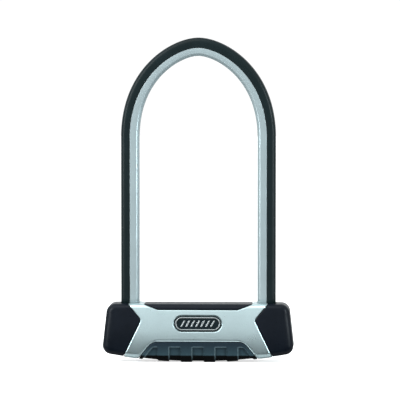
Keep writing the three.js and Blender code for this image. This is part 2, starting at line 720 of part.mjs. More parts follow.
place("front_cover", sideCover(-1), MATERIALS.silverCover);
place("back_cover", sideCover(1), MATERIALS.silverCover);
place("top_trim", topTrim(), MATERIALS.blackCover);
place("bottom_grip", bottomGrip(), MATERIALS.grip);
place("badge_plate", badgePlate(), MATERIALS.badge);
place("badge_rim", badgeRim(), MATERIALS.badgeRim);
place("lock_case", lockCase(), MATERIALS.caseSteel);

for (const [name, side] of [["left", -1], ["right", 1]]) {
  place(`end_cap_${name}`, endCap(side), MATERIALS.blackCover);
  place(`case_end_plate_${name}`, endPlate(side), MATERIALS.caseSteel);
  place(`leg_socket_${name}`, legSocket(side), MATERIALS.castZinc);
  place(`leg_seal_${name}`, legSeal(side), MATERIALS.rubber);
  place(`bolt_rail_${name}`, boltRail(side), MATERIALS.caseSteel);
  place(`bolt_${name}`, bolt(side), MATERIALS.hardenedSteel);
  place(`bolt_pin_${name}`, boltPin(side), MATERIALS.hardenedSteel);
  place(`cylinder_pin_${name}`, retainingPin(side), MATERIALS.hardenedSteel);
}

place("cylinder_housing", cylinderHousing(), MATERIALS.brass);
place("cylinder_plug", cylinderPlug(), MATERIALS.brass);
place("drill_guard_disc", guardDisc(), MATERIALS.hardenedSteel);
place("sidebar", sidebar(), MATERIALS.hardenedSteel);
place("bolt_cam", boltCam(), MATERIALS.hardenedSteel);
for (let i = 0; i < DISC.count; i++) {
  place(`detainer_disc_${i + 1}`, detainerDisc(i), MATERIALS.brass);
  if (i < DISC.count - 1) place(`disc_spacer_${i + 1}`, discSpacer(i), MATERIALS.hardenedSteel);
}

place("keyhole_shutter", keyholeShutter(), MATERIALS.hardenedSteel);
place("shutter_spring", shutterSpring(), MATERIALS.hardenedSteel);

export default lock;
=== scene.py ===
"""Looks of a bicycle U lock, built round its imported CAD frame.

Shapes are worked out in millimetres in the frame's axes (+Z up, front of the crossbar facing -Y)
and scaled to metres when they become meshes. A moulded or machined piece is a signed distance
field, negative inside, that is turned into a closed mesh; the shackle and its sheath are sweeps.
"""
import json
import math
from itertools import product

import bmesh
import bpy
import numpy as np
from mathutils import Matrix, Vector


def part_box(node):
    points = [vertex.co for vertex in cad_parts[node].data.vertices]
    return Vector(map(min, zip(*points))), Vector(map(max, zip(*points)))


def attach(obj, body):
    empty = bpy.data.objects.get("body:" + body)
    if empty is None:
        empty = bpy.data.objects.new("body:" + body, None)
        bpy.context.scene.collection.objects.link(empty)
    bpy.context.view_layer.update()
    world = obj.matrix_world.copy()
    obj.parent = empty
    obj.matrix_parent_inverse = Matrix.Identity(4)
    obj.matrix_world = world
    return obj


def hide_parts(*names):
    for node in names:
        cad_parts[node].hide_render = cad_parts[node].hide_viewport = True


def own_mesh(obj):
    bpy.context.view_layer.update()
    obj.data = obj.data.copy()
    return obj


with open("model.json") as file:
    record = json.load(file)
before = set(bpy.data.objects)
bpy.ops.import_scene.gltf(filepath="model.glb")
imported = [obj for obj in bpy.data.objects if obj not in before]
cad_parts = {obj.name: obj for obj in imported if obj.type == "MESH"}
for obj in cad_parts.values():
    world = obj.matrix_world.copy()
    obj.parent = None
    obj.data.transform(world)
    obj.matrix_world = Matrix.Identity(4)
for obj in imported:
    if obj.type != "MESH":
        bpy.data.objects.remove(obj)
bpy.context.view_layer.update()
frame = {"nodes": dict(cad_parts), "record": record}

MM = 0.001


def node_box(name):
    low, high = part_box(name)
    return np.array(low) / MM, np.array(high) / MM


# ---- Dimensions ----
GAP = 0.3  # between neighbouring covers, and between the covers and the case
SKIN = 0.06  # the fine surface stays this far inside the CAD box

# From the frame
BODY_TOP = node_box("back_cover")[1][2]
CASE_LOW, CASE_HIGH = node_box("lock_case")
SEAL_LOW, SEAL_HIGH = node_box("leg_seal_right")
SHEATH_LOW, SHEATH_HIGH = node_box("shackle_sheath_outer")
BAR_LOW, BAR_HIGH = node_box("shackle_bar")
SHUTTER_LOW, SHUTTER_HIGH = node_box("keyhole_shutter")

# Shackle: the square bar and the two strips round it
LEG_X = (SEAL_LOW[0] + SEAL_HIGH[0]) / 2
SHEATH_HALF = SHEATH_HIGH[0] - LEG_X
SHEATH_ROUND = 4.5
BAR_HALF = BAR_HIGH[0] - LEG_X
BAR_ROUND = 3.0
BAR_INNER_FACE = 57.0
NOTCH_DEPTH = 5.0  # from the inner face of each leg
NOTCH_PLAY = 0.6  # round the bolt, above and below
SHEATH_FIT = 0.15  # between the strips, and between them and the bar
STRIP_STEP = 0.35  # the silver strip's front lies this far below the black one's

# The arch: one Bezier curve from a leg's top to the crown, and its mirror image
ARCH_START = 209.0
ARCH_TOP = SHEATH_HIGH[2] - SHEATH_HALF
LEG_HANDLE = 60.0
CROWN_HANDLE = 20.0

# The crossbar's outside: faces rolled about an axis along X, a bottom curved about one along Y
HALF_DEPTH = 19.5
BARREL_RADIUS = 175.0
BARREL_Z = 30.0
TOP_CORNER_X = 84.8
LOW_CORNER_X = 90.0
CORNER_ROUND = 8.0
BOTTOM_RADIUS = 470.0
FOOT_HALF_WIDTH = 16.05
EDGE_ROUND = 6.0

# Where the covers meet: (x, z) of the corners of the silver X
WAIST = (53.0, 39.6)
CAP_TOP = (65.3, 54.6)
CAP_FOOT = (69.3, 5.7)
TRIM_FOOT = (37.0, 49.3)
TRIM_TOP = (52.6, 55.0)
GRIP_TOP = (42.3, 19.0)
GRIP_FOOT = (55.2, 3.3)
WAIST_ROUND = 1.8
GRIP_ROUND = 3.0
RECESS = 0.4  # of the caps and the trim below the silver
BLACK_EDGE = 0.9  # rounds along the edges of the caps and the grip
TRIM_EDGE = 0.8  # round along the trim and along the silver beside it
MOUTH_EDGE = 0.7  # round where the legs go in

# The grip: (y, z) of the facet along each long side, then its ribs
CREASE = (17.8, 6.6)
FACET_FOOT = (13.6, 0.0)
RIB_PITCH = 21.4
RIB_WIDTH = 10.7
RIB_TOP = 14.3
VALLEY_DEPTH = 1.15
VALLEY_EDGE = 0.6  # chamfer

# Openings and the badge
MOUTH_HALF = 8.9
SEAL_POCKET_HALF = (SEAL_HIGH[0] - SEAL_LOW[0]) / 2 + GAP / 2
KEYHOLE_HALF = (4.6, 6.2)
KEYHOLE_ROUND = 3.0
WELL_RADIUS = 11.3  # over the cylinder's face
SHUTTER_TRAVEL = 8.5
SHUTTER_PLAY = 0.25
SPRING_PLAY = 0.3
BADGE_Z = 36.4
BADGE_FLOOR = 17.9  # the depth of the badge's pocket, from the middle of the crossbar
BADGE_HALF = (22.3, 7.6)
PILL = 0.01  # a pill's corner radius stays this much under half its height


# ---- Distance fields ----
def round_max(a, b, radius):
    """Where both fields are negative, with the edge between them rounded."""
    corner = np.hypot(np.maximum(a + radius, 0), np.maximum(b + radius, 0))
    return np.minimum(np.maximum(a, b), -radius) + corner


def chamfer_max(a, b, leg):
    """Where both fields are negative, with the edge between them cut at 45 degrees."""
    return np.maximum(np.maximum(a, b), (a + b + leg) * math.sqrt(0.5))


def beyond(x, z, start, end):
    """Distance from the line through two points, positive on the left of start to end."""
    dx, dz = end[0] - start[0], end[1] - start[1]
    return ((z - start[1]) * dx - (x - start[0]) * dz) / math.hypot(dx, dz)


def rounded_rectangle(u, v, half_u, half_v, radius):
    """Distance from a rectangle round the origin, given by half its sides."""
    qu, qv = np.abs(u) - (half_u - radius), np.abs(v) - (half_v - radius)
    outside = np.hypot(np.maximum(qu, 0), np.maximum(qv, 0))
    return outside + np.minimum(np.maximum(qu, qv), 0) - radius


def span(value, low, high):
    """Distance outside an interval, negative inside it."""
    return np.abs(value - (low + high) / 2) - (high - low) / 2


def block(x, y, z, low, high, radius=0.0):
    """A box with rounded edges, from its lowest to its highest corner."""
    sides = [span(v, low[i], high[i]) for i, v in enumerate((x, y, z))]
    if not radius:
        return np.maximum(np.maximum(sides[0], sides[1]), sides[2])
    return round_max(round_max(sides[0], sides[1], radius), sides[2], radius)


# ---- The crossbar's outer surface and the zones that its covers take of it ----
def outline(x, z):
    """Distances from the crossbar's top, right side and bottom, seen from the front."""
    centre = math.sqrt(BOTTOM_RADIUS**2 - FOOT_HALF_WIDTH**2)
    low_corner = LOW_CORNER_X, centre - math.sqrt(BOTTOM_RADIUS**2 - LOW_CORNER_X**2)
    top = z - BODY_TOP
    side = -beyond(x, z, low_corner, (TOP_CORNER_X, BODY_TOP))
    bottom = np.hypot(x, z - centre) - BOTTOM_RADIUS
    bottom = np.maximum(bottom, -z)
    return top, side, bottom


def envelope(x, y, z, inset=SKIN):
    """The crossbar's outside: its edges roll over further at the ends than along the top."""
    edges = outline(np.abs(x), z)
    top, side, bottom = edges
    whole = round_max(round_max(top, side, CORNER_ROUND), bottom, CORNER_ROUND)
    # How fast each edge rolls over, blended where two of them meet
    roll, reach = (1.35, 0.68, 1.0), 4.0
    weights = [np.exp(np.clip(edge / reach, -30, 3)) for edge in edges]
    speed = sum(w * k for w, k in zip(weights, roll)) / sum(weights)
    face = np.hypot(np.abs(y) + BARREL_RADIUS - HALF_DEPTH, z - BARREL_Z) - BARREL_RADIUS
    return round_max((whole + inset) * speed, face + inset, EDGE_ROUND)


def cap_zone(x, z):
    """Where the right cap is, seen from the front; the waist is where its two edges meet."""
    upper = beyond(x, z, WAIST, CAP_TOP)
    lower = beyond(x, z, CAP_FOOT, WAIST)
    return round_max(upper, lower, WAIST_ROUND)


def trim_zone(x, z):
    """Where the top strip is, seen from the front."""
    x = np.abs(x)
    return np.maximum(TRIM_FOOT[1] - z, beyond(x, z, TRIM_TOP, TRIM_FOOT))


def grip_zone(x, z):
    """Where the grip is, seen from the front."""
    x = np.abs(x)
    return round_max(z - GRIP_TOP[1], -beyond(x, z, GRIP_FOOT, GRIP_TOP), GRIP_ROUND)


def case_room(x, y, z):
    """The hollow that the steel case fits in."""
    return block(x, y, z, CASE_LOW - GAP, CASE_HIGH + GAP)


def leg_mouth(x, y, z):
    """The hole that the sheath's end sits in, with the seal's pocket below it."""
    x = np.abs(x) - LEG_X
    mouth = rounded_rectangle(x, y, MOUTH_HALF, MOUTH_HALF, SHEATH_ROUND)
    mouth = np.maximum(mouth, SEAL_HIGH[2] - z)
    overlap = 0.1
    pocket = rounded_rectangle(x, y, SEAL_POCKET_HALF, SEAL_POCKET_HALF, SHEATH_ROUND)
    pocket = np.maximum(pocket, z - SEAL_HIGH[2] - overlap)
    pocket = np.maximum(pocket, CASE_HIGH[2] - z)
    return np.minimum(mouth, pocket)


# ---- Meshes from fields ----
CORNERS = list(product((0, 1), repeat=3))


def cell_corner(values, offset):
    """One corner's value for every cell of a grid."""
    return values[tuple(slice(o, o + n - 1) for o, n in zip(offset, values.shape))]


def crossing_points(values, crossed):
    """The mean of the places where a cell's edges are crossed, counted in cells."""
    where = np.argwhere(crossed)
    at_corner = np.stack([cell_corner(values, c)[crossed] for c in CORNERS], axis=1)
    total, hits = np.zeros((len(where), 3)), np.zeros((len(where), 1))
    for a, b in product(range(8), repeat=2):
        step = np.subtract(CORNERS[b], CORNERS[a])
        if a < b and np.abs(step).sum() == 1:
            start, end = at_corner[:, a], at_corner[:, b]
            crosses = ((start < 0) != (end < 0))[:, None]
            share = (start / np.where(start == end, 1, start - end))[:, None]
            total += np.where(crosses, np.array(CORNERS[a]) + share * step, 0)
            hits += crosses
    return where + total / hits


def slope(field, points, reach=0.02):
    """A field's gradient at each point."""
    parts = []
    for axis in range(3):
        shift = np.zeros(3)
        shift[axis] = reach
        change = field(*(points + shift).T) - field(*(points - shift).T)
        parts.append(change / (2 * reach))
    return np.stack(parts, axis=1)


def pull_to_surface(field, points, cell, rounds=3, longest=0.4):
    """Moves points to where the field is zero, by at most a share of a cell in each round."""
    for _ in range(rounds):
        gradient = slope(field, points)
        size = np.maximum((gradient**2).sum(1, keepdims=True), 0.05)
        move = -field(*points.T)[:, None] * gradient / size
        length = np.linalg.norm(move, axis=1, keepdims=True)
        points += move * np.minimum(1, longest * cell / np.maximum(length, 1e-9))
    normals = slope(field, points)
    normals /= np.maximum(np.linalg.norm(normals, axis=1, keepdims=True), 1e-9)
    return points, normals


def crossing_quads(inside, index):
    """A quad, facing outward, through the four cells round each grid edge that is crossed."""
    quads = []
    for axis in range(3):
        u, v = (axis + 1) % 3, (axis + 2) % 3
        first = [slice(None)] * 3
        second = [slice(None)] * 3
        first[axis], second[axis] = slice(None, -1), slice(1, None)
        start, end = inside[tuple(first)], inside[tuple(second)]
        for outward in (True, False):
            edges = np.argwhere((start & ~end) if outward else (~start & end))
            edges = edges[(edges[:, u] > 0) & (edges[:, v] > 0)]
            edges = edges[(edges[:, u] < index.shape[u]) & (edges[:, v] < index.shape[v])]
            ring = []
            for du, dv in ((1, 1), (0, 1), (0, 0), (1, 0)):
                cell_at = edges.copy()
                cell_at[:, u] -= du
                cell_at[:, v] -= dv
                ring.append(index[tuple(cell_at.T)])
            quad = np.stack(ring, axis=1)
            quads.append(quad if outward else quad[:, ::-1])
    return np.concatenate(quads)


def surface_net(field, low, high, cell):
    """Vertices, quads and normals of the surface where a field is zero, one vertex per cell."""
    counts = np.ceil((high - low) / cell).astype(int) + 1
    axes = [low[i] + cell * np.arange(counts[i]) for i in range(3)]
    grid = np.meshgrid(*axes, indexing="ij", sparse=True)
    values = np.broadcast_to(field(*grid), counts).astype(np.float32)

    inside = values < 0
    number_inside = sum(cell_corner(inside, c).astype(np.int8) for c in CORNERS)
    crossed = (number_inside > 0) & (number_inside < len(CORNERS))
    index = np.full(crossed.shape, -1, np.int64)
    index[crossed] = np.arange(np.count_nonzero(crossed))

    points = low + cell * crossing_points(values, crossed)
    points, normals = pull_to_surface(field, points, cell)
    return points, crossing_quads(inside, index), normals


def make_object(name, points, faces, normals=None):
    """An object from points in millimetres and an array of quads."""
    mesh = bpy.data.meshes.new(name)
    mesh.vertices.add(len(points))
    mesh.vertices.foreach_set("co", (np.asarray(points) * MM).astype(np.float32).ravel())
    mesh.loops.add(faces.size)
    mesh.loops.foreach_set("vertex_index", faces.astype(np.int32).ravel())
    mesh.polygons.add(len(faces))
    mesh.polygons.foreach_set("loop_start", np.arange(0, faces.size, 4, dtype=np.int32))
    mesh.polygons.foreach_set("use_smooth", np.ones(len(faces), bool))
    mesh.update(calc_edges=True)
    mesh.validate()
    if normals is not None:
        mesh.normals_split_custom_set_from_vertices(normals.astype(np.float32))
    obj = bpy.data.objects.new(name, mesh)
    bpy.context.scene.collection.objects.link(obj)
    return obj


# ---- Materials ----
class Recipe:
    """Builds a node material round one Principled shader."""

    def __init__(self, name, color, roughness, metallic=0.0, **sockets):
        self.material = bpy.data.materials.new(name)
        self.material.use_nodes = True
        self.nodes = self.material.node_tree.nodes
        self.links = self.material.node_tree.links
        self.shader = self.nodes["Principled BSDF"]
        self.color = color
        self.shader.inputs["Base Color"].default_value = (*color, 1)
        self.shader.inputs["Roughness"].default_value = roughness
        self.shader.inputs["Metallic"].default_value = metallic
        for socket, value in sockets.items():
            self.shader.inputs[socket.replace("_", " ")].default_value = value
        self.where = self.nodes.new("ShaderNodeTexCoord").outputs["Object"]
        self.normal = None

    def noise(self, size_mm, detail=3.0, roughness=0.55, stretch=None):
        """Noise whose blobs are about size_mm across, drawn out along an axis by stretch."""
        node = self.nodes.new("ShaderNodeTexNoise")
        node.inputs["Scale"].default_value = 1 / (size_mm * MM)
        node.inputs["Detail"].default_value = detail
        node.inputs["Roughness"].default_value = roughness
        self.links.new(self.stretched(stretch), node.inputs["Vector"])
        return node.outputs["Fac"]

    def stretched(self, stretch):
        """Object coordinates, scaled per axis."""
        if stretch is None:
            return self.where
        mapping = self.nodes.new("ShaderNodeMapping")
        mapping.inputs["Scale"].default_value = stretch
        self.links.new(self.where, mapping.inputs["Vector"])
        return mapping.outputs["Vector"]

    def cells(self, size_mm):
        """Cells about size_mm across, as flakes or grain."""
        node = self.nodes.new("ShaderNodeTexVoronoi")
        node.inputs["Scale"].default_value = 1 / (size_mm * MM)
        self.links.new(self.where, node.inputs["Vector"])
        return node

    def height(self):
        """Height over the floor, in metres."""
        node = self.nodes.new("ShaderNodeSeparateXYZ")
        self.links.new(self.where, node.inputs[0])
        return node.outputs["Z"]

    def attribute(self, name):
        """A value that the mesh holds at each point."""
        node = self.nodes.new("ShaderNodeAttribute")
        node.attribute_name = name
        return node.outputs["Fac"]

    def ranged(self, value, low, high, start=0.3, end=0.7):
        """Runs from low to high while value runs from start to end."""
        node = self.nodes.new("ShaderNodeMapRange")
        node.inputs["From Min"].default_value = start
        node.inputs["From Max"].default_value = end
        node.inputs["To Min"].default_value = low
        node.inputs["To Max"].default_value = high
        self.links.new(value, node.inputs["Value"])
        return node.outputs["Result"]

    def vary_color(self, other, value, start=0.35, end=0.65):
        """Mixes another colour in, by a value from start to end."""
        mix = self.nodes.new("ShaderNodeMix")
        mix.data_type = "RGBA"
        first, second = (s for s in mix.inputs if s.type == "RGBA")
        base = self.shader.inputs["Base Color"]
        if base.is_linked:
            self.links.new(base.links[0].from_socket, first)
        first.default_value = (*self.color, 1)
        second.default_value = (*other, 1)
        self.links.new(self.ranged(value, 0.0, 1.0, start, end), mix.inputs[0])
        self.links.new(next(s for s in mix.outputs if s.type == "RGBA"), base)

    def vary_roughness(self, low, high, value, start=0.3, end=0.7):
        self.links.new(self.ranged(value, low, high, start, end), self.shader.inputs["Roughness"])

    def bump(self, height, depth_mm, strength=1.0):
        """Adds a relief on top of those already there."""
        node = self.nodes.new("ShaderNodeBump")
        node.inputs["Distance"].default_value = depth_mm * MM
        node.inputs["Strength"].default_value = strength
        self.links.new(height, node.inputs["Height"])
        if self.normal is not None:
            self.links.new(self.normal, node.inputs["Normal"])
        self.normal = node.outputs["Normal"]
        self.links.new(self.normal, self.shader.inputs["Normal"])


def silver_paint():
    """Satin metallic paint over a moulded cover: fine flake and a faint orange peel."""
    color = (0.515, 0.645, 0.665)
    r = Recipe("silver_paint", color, 0.3, 0.88, Coat_Weight=0.25, Coat_Roughness=0.18)
    r.vary_color((0.55, 0.69, 0.71), r.noise(28, 2))
    r.vary_color((0.45, 0.575, 0.595), r.cells(0.35).outputs["Color"], 0.55, 1.1)
    r.vary_roughness(0.27, 0.34, r.noise(9, 3))
    r.bump(r.noise(0.5, 2), 0.006)
    r.bump(r.noise(6, 2), 0.02, 0.5)
    return r.material


def moulded_black(name, color, other, roughness, grain_mm, depth_mm):
    """Injection-moulded black plastic with a fine etched grain."""
    r = Recipe(name, color, roughness, Specular_IOR_Level=0.1)
    r.vary_color(other, r.noise(17, 3))
    r.vary_roughness(roughness - 0.05, roughness + 0.08, r.noise(5, 4))
    r.bump(r.cells(grain_mm).outputs["Distance"], depth_mm)
    r.bump(r.noise(grain_mm * 0.6, 2), depth_mm * 0.6)
    return r.material


def grip_plastic():
    """Grained plastic, with painted light: a painted reflection paler down to the crease, painted
    shade near black below it, and a painted highlight along the valleys.
    """
    r = Recipe("grip_plastic", (0.0145, 0.024, 0.0335), 0.36, Specular_IOR_Level=0.06)
    height = r.height()
    # Painted reflection: paler from 18.5 mm down to the crease.
    r.vary_color((0.031, 0.057, 0.070), height, 18.5 * MM, 7.2 * MM)
    # Painted shade: near black below the crease.
    r.vary_color((0.0003, 0.0006, 0.0008), height, 7.0 * MM, 6.2 * MM)
    # Painted highlight along the valleys' left and upper edges, read from the mesh.
    r.vary_color((0.11, 0.16, 0.18), r.attribute("painted_highlight"), 0.0, 1.3)
    r.vary_roughness(0.3, 0.44, r.noise(5, 4))
    r.bump(r.cells(0.6).outputs["Distance"], 0.02)
    r.bump(r.noise(0.36, 2), 0.012)
    return r.material


def sheath_vinyl(name, color, other, roughness, metallic=0.0, coat=0.0):
    """Extruded vinyl: plain and smooth, or silvered under a clear gloss coat."""
    r = Recipe(
        name, color, roughness, metallic,
        Specular_IOR_Level=0.5 if metallic else 0.12, Coat_Weight=coat, Coat_Roughness=0.12,
    )
    r.vary_color(other, r.noise(24, 3))
    r.vary_roughness(roughness - 0.02, roughness + 0.03, r.noise(7, 3))
    r.bump(r.noise(0.8, 2), 0.002)
    return r.material


def metal(name, color, other, roughness, grain_mm, stretch=None, depth_mm=0.01, metallic=1.0):
    """Bare or plated metal, its grain drawn out along an axis by stretch."""
    r = Recipe(name, color, roughness, metallic)
    r.vary_color(other, r.noise(7, 4))
    r.vary_roughness(roughness - 0.07, roughness + 0.1, r.noise(2.5, 4))
    r.bump(r.noise(grain_mm, 3, 0.6, stretch), depth_mm)
    return r.material


def rubber():
    r = Recipe("seal_rubber", (0.018, 0.019, 0.02), 0.7, Specular_IOR_Level=0.35)
    r.vary_color((0.03, 0.031, 0.032), r.noise(4, 4))
    r.vary_roughness(0.62, 0.8, r.noise(2, 3))
    r.bump(r.noise(0.3, 3), 0.02)
    return r.material


MATERIALS = {
    "silver_cover": silver_paint(),
    "black_cover": moulded_black(
        "cap_plastic", (0.0035, 0.0055, 0.009), (0.005, 0.0075, 0.012), 0.32, 0.45, 0.015
    ),
    "grip": grip_plastic(),
    "black_sheath": sheath_vinyl(
        "black_vinyl", (0.0035, 0.0085, 0.0095), (0.005, 0.011, 0.0125), 0.34
    ),
    "silver_sheath": sheath_vinyl(
        "silver_vinyl", (0.265, 0.325, 0.34), (0.285, 0.35, 0.365), 0.22, 0.3, 0.35
    ),
    "badge": moulded_black(
        "badge_gloss", (0.004, 0.010, 0.012), (0.006, 0.013, 0.016), 0.2, 0.5, 0.004
    ),
    "badge_rim": metal(
        "badge_plating", (0.5, 0.54, 0.55), (0.44, 0.48, 0.49), 0.24, 0.4, None, 0.003
    ),
    "seal_rubber": rubber(),
    "case_steel": metal(
        "phosphated_steel", (0.09, 0.092, 0.095), (0.14, 0.142, 0.145), 0.5, 0.4
    ),
    "cast_socket": metal(
        "cast_metal", (0.36, 0.365, 0.37), (0.28, 0.285, 0.29), 0.58, 0.7, None, 0.05, 0.9
    ),
    "hardened_steel": metal(
        "hardened_steel", (0.42, 0.43, 0.44), (0.33, 0.34, 0.36), 0.36, 0.25, (1, 1, 0.08)
    ),
    "shutter_steel": metal(
        "brushed_stainless", (0.56, 0.57, 0.58), (0.5, 0.51, 0.52), 0.3, 0.2, (1, 0.05, 1)
    ),
    "spring_steel": metal("spring_wire", (0.5, 0.5, 0.51), (0.42, 0.42, 0.43), 0.28, 0.3),
    "brass": metal("turned_brass", (0.62, 0.45, 0.2), (0.5, 0.34, 0.14), 0.3, 0.2, (0.1, 0.1, 1)),
}


# ---- Pieces ----
def dress(obj, body, slot, *nodes):
    """Gives a piece its slot's material, the body it rides on and the nodes it stands for."""
    obj.data.materials.clear()
    obj.data.materials.append(MATERIALS[slot])
    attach(obj, body)
    if nodes:
        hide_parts(*nodes)
    return obj


def moulded(name, field, box, cell, body, slot, *nodes, painted_highlight=None):
    """A piece from its field. A painted highlight, from 0 to 1 at each point, is left for the
    material to read.
    """
    low, high = np.array(box)
    margin = 2 * cell
    points, faces, normals = surface_net(field, low - margin, high + margin, cell)
    obj = make_object(name, points, faces, normals)
    if painted_highlight is not None:
        layer = obj.data.attributes.new("painted_highlight", "FLOAT", "POINT")
        layer.data.foreach_set("value", painted_highlight(*points.T).astype(np.float32))
    return dress(obj, body, slot, *nodes)


# ---- Covers ----
def cover_field(face):
    """The silver X on one side: face is -1 for the front and 1 for the back."""
    cap_edge, grip_chamfer, badge_chamfer = 1.05, 0.75, 0.6
    groove_depth, groove_width, groove_place = 0.35, 0.7, 1.7

    def field(x, y, z):
        outside = envelope(x, y, z)
        grip = grip_zone(x, z)
        groove = np.hypot((grip - groove_place) / groove_width, outside / groove_depth) - 1
        shape = np.maximum(outside, -groove * min(groove_width, groove_depth))
        shape = round_max(shape, GAP - cap_zone(np.abs(x), z), cap_edge)
        shape = round_max(shape, GAP - trim_zone(x, z), TRIM_EDGE)
        shape = chamfer_max(shape, GAP - grip, grip_chamfer)
        shape = np.maximum(shape, -case_room(x, y, z))
        shape = round_max(shape, -leg_mouth(x, y, z), MOUTH_EDGE)
        shape = np.maximum(shape, GAP / 2 - face * y)
        if face < 0:
            pill = rounded_rectangle(x, z - BADGE_Z, *BADGE_HALF, BADGE_HALF[1] - PILL)
            pocket = np.maximum(pill, y + BADGE_FLOOR)
            shape = chamfer_max(shape, -pocket, badge_chamfer)
        return shape

    return field


def cap_field(side):
    """The black cap on one end: side is -1 for the left and 1 for the right."""

    def field(x, y, z):
        zone = cap_zone(side * x, z)
        shape = round_max(envelope(x, y, z, RECESS + SKIN), zone, BLACK_EDGE)
        shape = np.maximum(shape, -case_room(x, y, z))
        return round_max(shape, -leg_mouth(x, y, z), MOUTH_EDGE)

    return field


def trim_field(x, y, z):
    """The black strip along the top."""
    shape = round_max(envelope(x, y, z, RECESS + SKIN), trim_zone(x, z), TRIM_EDGE)
    return np.maximum(shape, -case_room(x, y, z))


def valleys(x, z):
    """What is cut away between the ribs: two whole valleys, the keyhole's and one at each end."""
    x = np.abs(x)
    first_rib_end = (RIB_PITCH + RIB_WIDTH) / 2
    middle = x - (RIB_PITCH - RIB_WIDTH) / 2
    second = span(x, first_rib_end, first_rib_end + RIB_PITCH - RIB_WIDTH)
    end_margin, top_round = 3.2, 0.8
    slant = end_margin - beyond(x, z, GRIP_FOOT, GRIP_TOP)
    outer = np.maximum(first_rib_end + RIB_PITCH - x, slant)
    across = np.minimum(np.minimum(middle, second), outer)
    return round_max(across, z - RIB_TOP, top_round)


def grip_outside(x, y, z):
    """The crossbar's outside with a flat facet under a crease along each long side."""
    return np.maximum(envelope(x, y, z), -beyond(np.abs(y), z, FACET_FOOT, CREASE))


def painted_valley_highlight(x, y, z):
    """Where a painted highlight shows: along the left and upper edges of the valleys."""
    step, reach, fade_start, fade_height = 0.05, 0.55, 1.5, 5
    above_foot = np.clip((z - fade_start) / fade_height, 0, 1)
    across = (valleys(x + step, z) - valleys(x - step, z)) / (2 * step)
    upward = (valleys(x, z + step) - valleys(x, z - step)) / (2 * step)
    near = np.exp(-((valleys(x, z) / reach) ** 2))
    return near * above_foot * np.clip(upward - across, 0, 1)


def keyhole(x, y, z):
    """The opening through the grip's floor."""
    hole = rounded_rectangle(x, y, *KEYHOLE_HALF, KEYHOLE_ROUND)
    return np.maximum(hole, z - SHUTTER_LOW[2] - 1)


def shutter_room(x, y, z):
    """The shutter's slot, its spring's slot and the well over the cylinder's face."""
    slot_low = SHUTTER_LOW - SHUTTER_PLAY
    slot_end = SHUTTER_HIGH[0] + SHUTTER_TRAVEL + SHUTTER_PLAY
    slot = block(x, y, z, slot_low, (slot_end, SHUTTER_HIGH[1] + SHUTTER_PLAY, CASE_LOW[2]))
    low, high = node_box("shutter_spring")
    spring_high = (high[0] + SPRING_PLAY, high[1] + SPRING_PLAY, CASE_LOW[2])
    spring_slot = block(x, y, z, low - SPRING_PLAY, spring_high)
    face = node_box("cylinder_housing")[0][2]
    well = np.maximum(np.hypot(x, y) - WELL_RADIUS, face - SHUTTER_PLAY - z)
    return np.minimum(np.minimum(slot, spring_slot), well)


def grip_field(x, y, z):
    """The black grip: its ribs, a raised bead round each valley, and what its inside is cut for."""
    bead_foot, bead_offset, bead_sink, bead_radius = 5.0, 0.3, 0.12, 0.45
    keyhole_edge = 0.6
    outside, zone, edge = grip_outside(x, y, z), grip_zone(x, z), valleys(x, z)
    shape = round_max(outside, zone, BLACK_EDGE)
    cut = np.maximum(edge, -(outside + VALLEY_DEPTH))
    shape = chamfer_max(shape, -cut, VALLEY_EDGE)
    bead = np.hypot(edge - bead_offset, outside + bead_sink) - bead_radius
    bead = np.maximum(bead, bead_foot - z)
    shape = np.minimum(shape, np.maximum(bead, zone))
    shape = np.maximum(shape, -case_room(x, y, z))
    shape = round_max(shape, -keyhole(x, y, z), keyhole_edge)
    return np.maximum(shape, -shutter_room(x, y, z))


def build_covers():
    for name, finish, field, cell, slot in (
        ("front_cover", "shell", cover_field(-1), 0.4, "silver_cover"),
        ("back_cover", "shell", cover_field(1), 0.4, "silver_cover"),
        ("end_cap_left", "shell", cap_field(-1), 0.6, "black_cover"),
        ("end_cap_right", "shell", cap_field(1), 0.6, "black_cover"),
        ("top_trim", "strip", trim_field, 0.6, "black_cover"),
        ("bottom_grip", "ribbed", grip_field, 0.45, "grip"),
    ):
        # Only the grip carries a painted highlight, along its valleys' edges.
        painted_highlight = painted_valley_highlight if slot == "grip" else None
        moulded(
            f"{name}_{finish}", field, node_box(name), cell, "lock_body", slot, name, painted_highlight=painted_highlight
        )


# ---- Badge ----
def badge_bar(x, z):
    """Seven leaning bars, a plain motif."""
    count, pitch, width, tall, lean = 7, 4.6, 1.7, 2.9, 0.55
    half = (count - 1) / 2
    along = x - (z - BADGE_Z) * lean
    nearest = np.clip(np.round(along / pitch), -half, half) * pitch
    across = np.abs(along - nearest) - width / 2
    return np.maximum(across / math.hypot(1, lean), np.abs(z - BADGE_Z) - tall)


